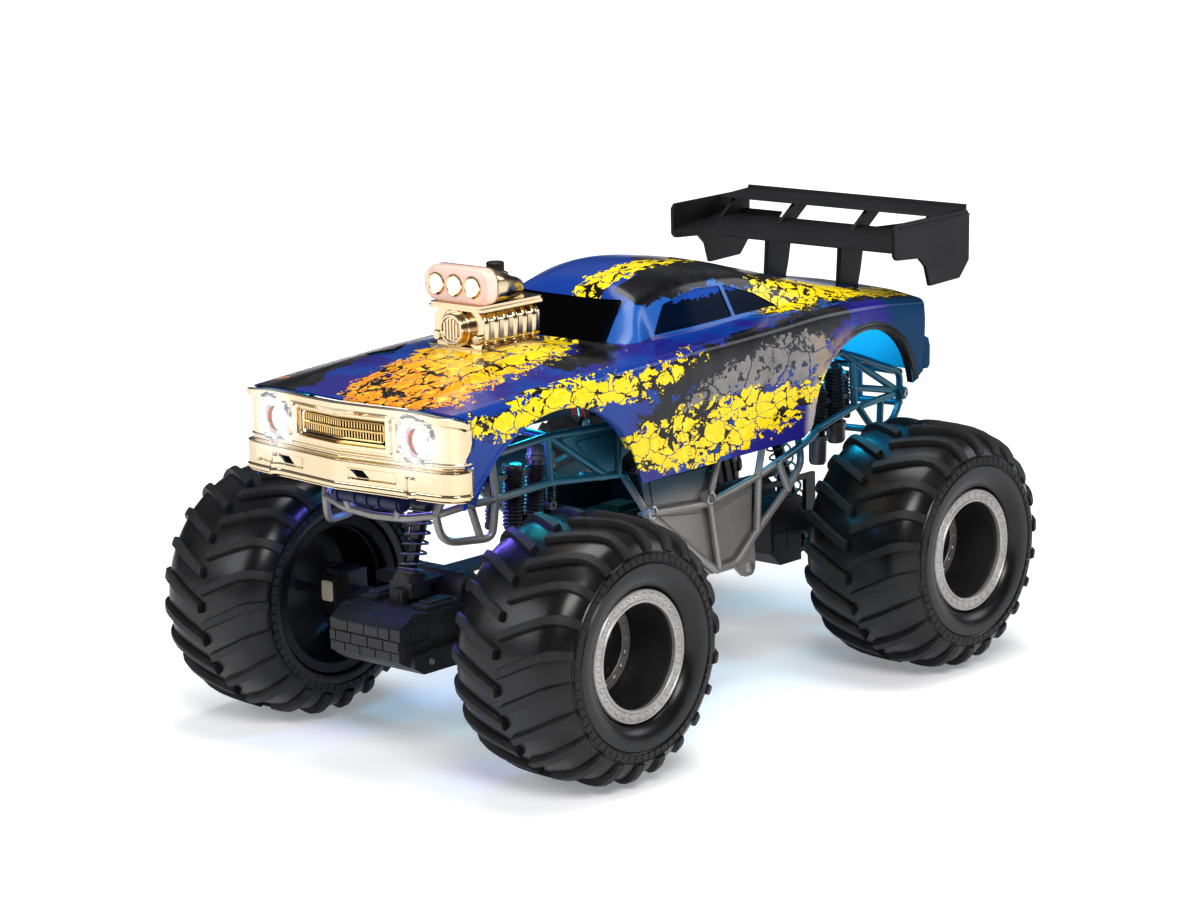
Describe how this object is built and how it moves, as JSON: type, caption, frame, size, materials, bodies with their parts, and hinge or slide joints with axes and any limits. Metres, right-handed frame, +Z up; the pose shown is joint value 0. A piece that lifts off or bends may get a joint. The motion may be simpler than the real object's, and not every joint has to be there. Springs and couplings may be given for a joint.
{
  "type": "radio-controlled monster truck",
  "caption": "Toy monster truck: printed muscle-car shell on a tube frame, rear wing, supercharger with scoop, lamps, sprung live axles, steering and paddle-tread wheels.",
  "frame": {"origin": "centre of the overall box in plan, on the ground under the tyres", "axes": "+X forward, +Y to the truck's left, +Z up"},
  "size_m": [0.4984, 0.341, 0.289],
  "materials": {
    "painted_shell": "thin moulded shell, gloss, blue with splatter bands of yellow, black and grey",
    "dark_glazing": "gloss black and navy, opaque",
    "pale_gold_chrome": "bright pale gold plating",
    "headlamp": "clear lens, lit white",
    "pink_lens": "clear lens, lit soft pink",
    "black_plastic": "satin to matte black",
    "frame_grey": "satin silver-grey paint",
    "battery_wrap": "shrink wrap",
    "circuit_green": "solder mask",
    "dark_steel": "plain, lightly oiled",
    "nylon": "natural nylon",
    "tyre": "satin rubber, matt on the lugs",
    "rim_black": "satin black",
    "ring_silver": "light silver with raised rivets"
  },
  "bodies": {
    "chassis": {"body_shell": "painted_shell", "window_insert": "dark_glazing", "front_fascia": "pale_gold_chrome", "grille_insert": "pale_gold_chrome", "headlight_left": "headlamp", "headlight_right": "headlamp", "blower_case": "pale_gold_chrome", "intake_scoop": "pale_gold_chrome", "scoop_lens": "pink_lens", "rear_wing": "black_plastic", "side_frame_left": "frame_grey", "side_frame_right": "frame_grey", "side_plate_left": "frame_grey", "side_plate_right": "frame_grey", "front_frame": "frame_grey", "rear_frame": "frame_grey", "nose_drum": "black_plastic", "front_dummy_shock_left": "black_plastic", "front_dummy_shock_right": "black_plastic", "rear_dummy_shock_left": "black_plastic", "rear_dummy_shock_right": "black_plastic", "chassis_tub": "black_plastic", "battery_pack": "battery_wrap", "circuit_board": "circuit_green", "front_shock_body": "dark_steel", "rear_shock_body": "dark_steel"},
    "knob": {"scoop_knob": "black_plastic"},
    "door": {"battery_door": "black_plastic"},
    "switch": {"power_switch": "black_plastic"},
    "front_carrier": {"front_cradle": "black_plastic", "front_shock_shaft": "dark_steel", "front_spring": "dark_steel"},
    "front_axle": {"front_axle_housing": "black_plastic", "steering_motor": "dark_steel"},
    "left_knuckle": {"knuckle_left": "nylon"},
    "right_knuckle": {"knuckle_right": "nylon"},
    "steering_link": {"tie_rod": "black_plastic"},
    "front_left_wheel": {"tyre_front_left": "tyre", "rim_front_left": "rim_black", "beadlock_ring_front_left": "ring_silver"},
    "front_right_wheel": {"tyre_front_right": "tyre", "rim_front_right": "rim_black", "beadlock_ring_front_right": "ring_silver"},
    "rear_carrier": {"rear_cradle": "black_plastic", "rear_shock_shaft": "dark_steel", "rear_spring": "dark_steel"},
    "rear_axle": {"rear_axle_housing": "black_plastic", "drive_motor": "dark_steel"},
    "rear_wheels": {"rear_axle_shaft": "dark_steel", "drive_gear": "nylon", "tyre_rear_left": "tyre", "tyre_rear_right": "tyre", "rim_rear_left": "rim_black", "rim_rear_right": "rim_black", "beadlock_ring_rear_left": "ring_silver", "beadlock_ring_rear_right": "ring_silver"},
    "pinion": {"motor_pinion": "dark_steel"}
  },
  "joints": [
    {"name": "knob_turn", "type": "hinge", "parent": "chassis", "child": "knob", "pos_m": [0.10725, 0, 0.28], "axis": [0, 0, 1], "range_deg": [0, 90]},
    {"name": "battery_door_hinge", "type": "hinge", "parent": "chassis", "child": "door", "pos_m": [-0.04075, 0, 0.0809], "axis": [0, 1, 0], "range_deg": [0, 42]},
    {"name": "power_switch_slide", "type": "slide", "parent": "chassis", "child": "switch", "axis": [1, 0, 0], "range_m": [0, 0.0045]},
    {"name": "front_bounce", "type": "slide", "parent": "chassis", "child": "front_carrier", "axis": [-0.2995, 0, 0.9541], "range_m": [0, 0.008], "stiffness_N_per_m": 2500, "springref_m": -0.008, "deforming": ["front_spring"]},
    {"name": "front_roll", "type": "hinge", "parent": "front_carrier", "child": "front_axle", "pos_m": [0.18925, 0, 0.098], "axis": [1, 0, 0], "range_deg": [-4, 4], "stiffness_Nm_per_rad": 8},
    {"name": "steer_left", "type": "hinge", "parent": "front_axle", "child": "left_knuckle", "pos_m": [0.16925, 0.086, 0.08], "axis": [0, 0, 1], "range_deg": [-18, 18]},
    {"name": "steer_right", "type": "hinge", "parent": "front_axle", "child": "right_knuckle", "pos_m": [0.16925, -0.086, 0.08], "axis": [0, 0, 1], "range_deg": [-18, 18]},
    {"name": "tie_rod_shift", "type": "slide", "parent": "front_axle", "child": "steering_link", "axis": [0, 1, 0], "range_m": [-0.0071, 0.0071]},
    {"name": "front_left_spin", "type": "hinge", "parent": "left_knuckle", "child": "front_left_wheel", "pos_m": [0.16925, 0.1245, 0.08], "axis": [0, 1, 0], "continuous": true},
    {"name": "front_right_spin", "type": "hinge", "parent": "right_knuckle", "child": "front_right_wheel", "pos_m": [0.16925, -0.1245, 0.08], "axis": [0, 1, 0], "continuous": true},
    {"name": "rear_bounce", "type": "slide", "parent": "chassis", "child": "rear_carrier", "axis": [0.369, 0, 0.9294], "range_m": [0, 0.008], "stiffness_N_per_m": 2500, "springref_m": -0.008, "deforming": ["rear_spring"]},
    {"name": "rear_roll", "type": "hinge", "parent": "rear_carrier", "child": "rear_axle", "pos_m": [-0.17975, 0, 0.066], "axis": [1, 0, 0], "range_deg": [-4, 4], "stiffness_Nm_per_rad": 8},
    {"name": "rear_spin", "type": "hinge", "parent": "rear_axle", "child": "rear_wheels", "pos_m": [-0.15475, 0, 0.08], "axis": [0, 1, 0], "continuous": true},
    {"name": "pinion_spin", "type": "hinge", "parent": "rear_axle", "child": "pinion", "pos_m": [-0.13195, 0, 0.08], "axis": [0, 1, 0], "continuous": true}
  ],
  "couplings": [
    {"joint": "steer_right", "follows": "steer_left", "ratio": 1},
    {"joint": "tie_rod_shift", "follows": "steer_left", "m_per_rad": -0.022},
    {"joint": "pinion_spin", "follows": "rear_spin", "ratio": -4}
  ]
}
